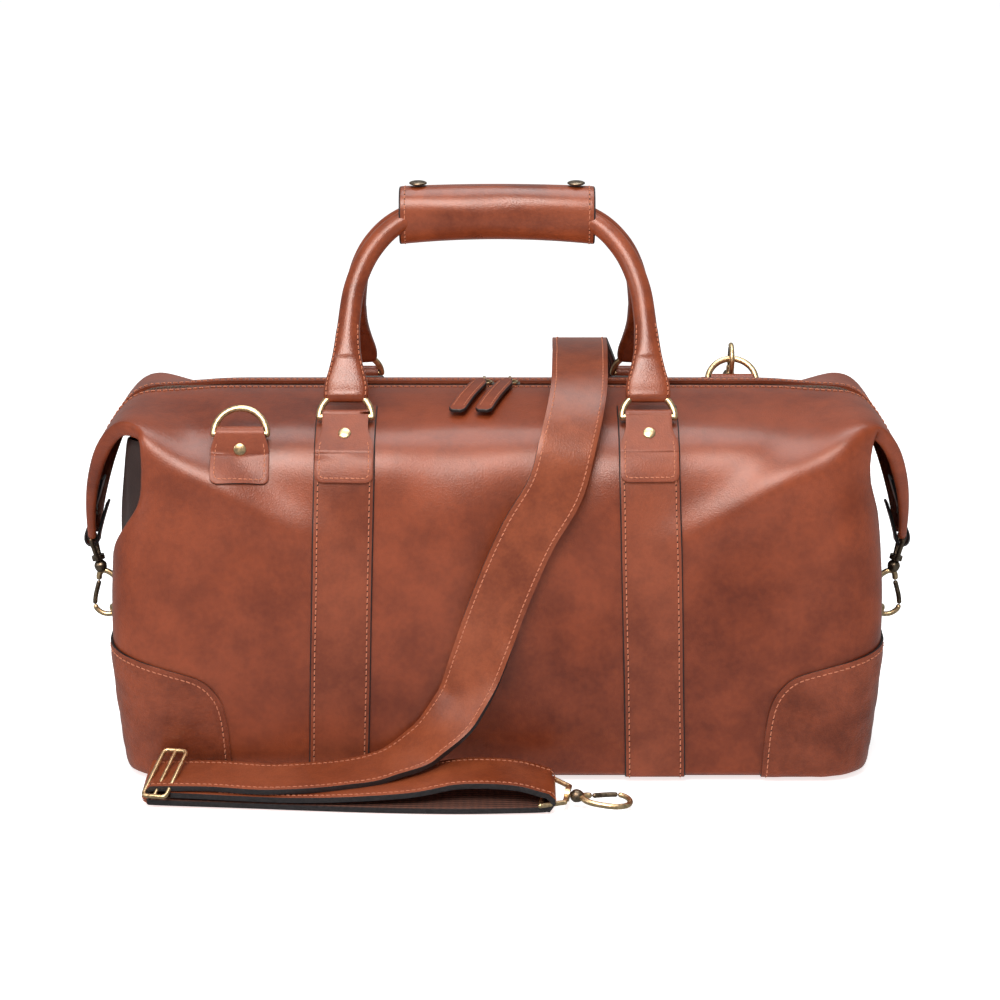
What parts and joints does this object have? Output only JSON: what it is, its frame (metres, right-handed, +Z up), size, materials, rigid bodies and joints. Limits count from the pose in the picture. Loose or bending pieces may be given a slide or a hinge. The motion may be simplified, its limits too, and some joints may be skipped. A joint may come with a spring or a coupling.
{
  "type": "weekender bag",
  "caption": "Leather weekender holdall with a central top zip, fold-down end wings on snap clips, rolled handles in a buttoned grip wrap and a detachable shoulder strap.",
  "frame": {"origin": "middle of the flat base, on the surface the bag stands on", "axes": "+X along the bag's length to the right seen from the front, -Y towards the front, +Z up"},
  "size_m": [0.583, 0.3522, 0.3953],
  "materials": {
    "leather": "smooth cognac leather, lightly burnished",
    "handle_leather": "darker cognac leather, hand worn",
    "strap": "cognac leather face over brown ribbed webbing",
    "lining": "brown woven cotton",
    "board": "covered stiffening board",
    "zip_tape": "brown woven tape",
    "dark_brass": "antique brass, worn",
    "brass": "antique brass, worn"
  },
  "bodies": {
    "bag": {"base_board": "board", "base_panel": "leather", "floor_hook_eye": "brass", "front_bands": "leather", "front_chapes": "leather", "front_left_patch": "leather", "front_panel": "leather", "front_right_patch": "leather", "front_zip_tape": "zip_tape", "left_clip_eye": "brass", "left_gusset": "leather", "left_side_tab": "leather", "left_wing": "leather", "lining": "lining", "rear_bands": "leather", "rear_chapes": "leather", "rear_hook_eye": "brass", "rear_left_patch": "leather", "rear_panel": "leather", "rear_right_patch": "leather", "rear_zip_tape": "zip_tape", "right_clip_eye": "brass", "right_gusset": "leather", "right_side_tab": "leather", "right_wing": "leather", "ring_tabs": "leather", "rivets": "brass", "strap_buckle": "brass", "strap_floor": "strap", "strap_front": "strap", "strap_lower": "strap", "strap_rear": "strap", "strap_return": "strap", "zip_teeth": "dark_brass"},
    "front_handle": {"front_handle": "handle_leather", "front_handle_rings": "brass", "grip_front": "handle_leather"},
    "rear_handle": {"rear_handle": "handle_leather", "rear_handle_rings": "brass", "grip_rear": "handle_leather"},
    "grip_flap": {"grip_flap": "handle_leather", "grip_snaps": "brass"},
    "front_d_ring": {"front_d_ring": "brass"},
    "rear_d_ring": {"rear_d_ring": "brass"},
    "left_slider": {"left_slider": "dark_brass"},
    "left_pull": {"left_pull_ring": "brass", "left_pull_tab": "leather"},
    "left_side_ring": {"left_side_ring": "brass"},
    "left_clip_hook": {"left_clip_hook": "brass"},
    "left_clip_gate": {"left_clip_gate": "brass"},
    "right_slider": {"right_slider": "dark_brass"},
    "right_pull": {"right_pull_ring": "brass", "right_pull_tab": "leather"},
    "right_side_ring": {"right_side_ring": "brass"},
    "right_clip_hook": {"right_clip_hook": "brass"},
    "right_clip_gate": {"right_clip_gate": "brass"},
    "rear_hook": {"rear_hook_hook": "brass"},
    "rear_hook_gate": {"rear_hook_gate": "brass"},
    "floor_hook": {"floor_hook_hook": "brass"},
    "floor_hook_gate": {"floor_hook_gate": "brass"}
  },
  "joints": [
    {"name": "front_handle_swing", "type": "hinge", "parent": "bag", "child": "front_handle", "pos_m": [0, -0.082, 0.2482], "axis": [1, 0, 0], "range_deg": [0, 120]},
    {"name": "rear_handle_swing", "type": "hinge", "parent": "bag", "child": "rear_handle", "pos_m": [0, 0.082, 0.2482], "axis": [-1, 0, 0], "range_deg": [0, 60]},
    {"name": "grip_flap_open", "type": "hinge", "parent": "front_handle", "child": "grip_flap", "pos_m": [0, -0.004, 0.39361], "axis": [1, 0, 0], "range_deg": [0, 110]},
    {"name": "left_slider_slide", "type": "slide", "parent": "bag", "child": "left_slider", "axis": [-1, 0, 0], "range_m": [0, 0.189]},
    {"name": "left_pull_swing", "type": "hinge", "parent": "left_slider", "child": "left_pull", "pos_m": [-0.009, 0, 0.258], "axis": [-1, 0, 0], "range_deg": [0, 170]},
    {"name": "left_side_ring_tilt", "type": "hinge", "parent": "bag", "child": "left_side_ring", "pos_m": [-0.266, 0, 0.086], "axis": [0, 1, 0], "range_deg": [0, 5]},
    {"name": "left_clip_swivel", "type": "hinge", "parent": "bag", "child": "left_clip_hook", "pos_m": [-0.2865, 0, 0.145], "axis": [0.2314, 0, -0.9729], "range_deg": [-10, 10]},
    {"name": "left_clip_gate_open", "type": "hinge", "parent": "left_clip_hook", "child": "left_clip_gate", "pos_m": [-0.2872, 0, 0.11338], "axis": [0, -1, 0], "range_deg": [0, 15], "stiffness_Nm_per_rad": 0.02, "springref_deg": -17.19},
    {"name": "right_slider_slide", "type": "slide", "parent": "bag", "child": "right_slider", "axis": [1, 0, 0], "range_m": [0, 0.189]},
    {"name": "right_pull_swing", "type": "hinge", "parent": "right_slider", "child": "right_pull", "pos_m": [0.009, 0, 0.258], "axis": [-1, 0, 0], "range_deg": [0, 170]},
    {"name": "right_side_ring_tilt", "type": "hinge", "parent": "bag", "child": "right_side_ring", "pos_m": [0.266, 0, 0.086], "axis": [0, -1, 0], "range_deg": [0, 5]},
    {"name": "right_clip_swivel", "type": "hinge", "parent": "bag", "child": "right_clip_hook", "pos_m": [0.2865, 0, 0.145], "axis": [-0.2314, 0, -0.9729], "range_deg": [-10, 10]},
    {"name": "right_clip_gate_open", "type": "hinge", "parent": "right_clip_hook", "child": "right_clip_gate", "pos_m": [0.2872, 0, 0.11338], "axis": [0, 1, 0], "range_deg": [0, 15], "stiffness_Nm_per_rad": 0.02, "springref_deg": -17.19},
    {"name": "front_d_ring_swing", "type": "hinge", "parent": "bag", "child": "front_d_ring", "pos_m": [-0.172, -0.096, 0.2395], "axis": [1, 0, 0], "range_deg": [0, 120]},
    {"name": "rear_d_ring_swing", "type": "hinge", "parent": "bag", "child": "rear_d_ring", "pos_m": [0.172, 0.096, 0.2395], "axis": [1, 0, 0], "range_deg": [0, 4]},
    {"name": "rear_hook_swivel", "type": "hinge", "parent": "bag", "child": "rear_hook", "pos_m": [0.172, 0.1471, 0.22539], "axis": [0, -0.8192, 0.5736], "range_deg": [-6, 6]},
    {"name": "rear_hook_gate_open", "type": "hinge", "parent": "rear_hook", "child": "rear_hook_gate", "pos_m": [0.172, 0.12662, 0.24949], "axis": [1, 0, 0], "range_deg": [0, 15], "stiffness_Nm_per_rad": 0.02, "springref_deg": -17.19},
    {"name": "floor_hook_swivel", "type": "hinge", "parent": "bag", "child": "floor_hook", "pos_m": [0.032, -0.16, 0.0098], "axis": [0.9841, -0.1476, -0.0984], "range_deg": [-60, 60]},
    {"name": "floor_hook_gate_open", "type": "hinge", "parent": "floor_hook", "child": "floor_hook_gate", "pos_m": [0.06336, -0.15665, 0.00747], "axis": [-0.0843, 0.0992, -0.9915], "range_deg": [0, 15], "stiffness_Nm_per_rad": 0.02, "springref_deg": -17.19}
  ]
}
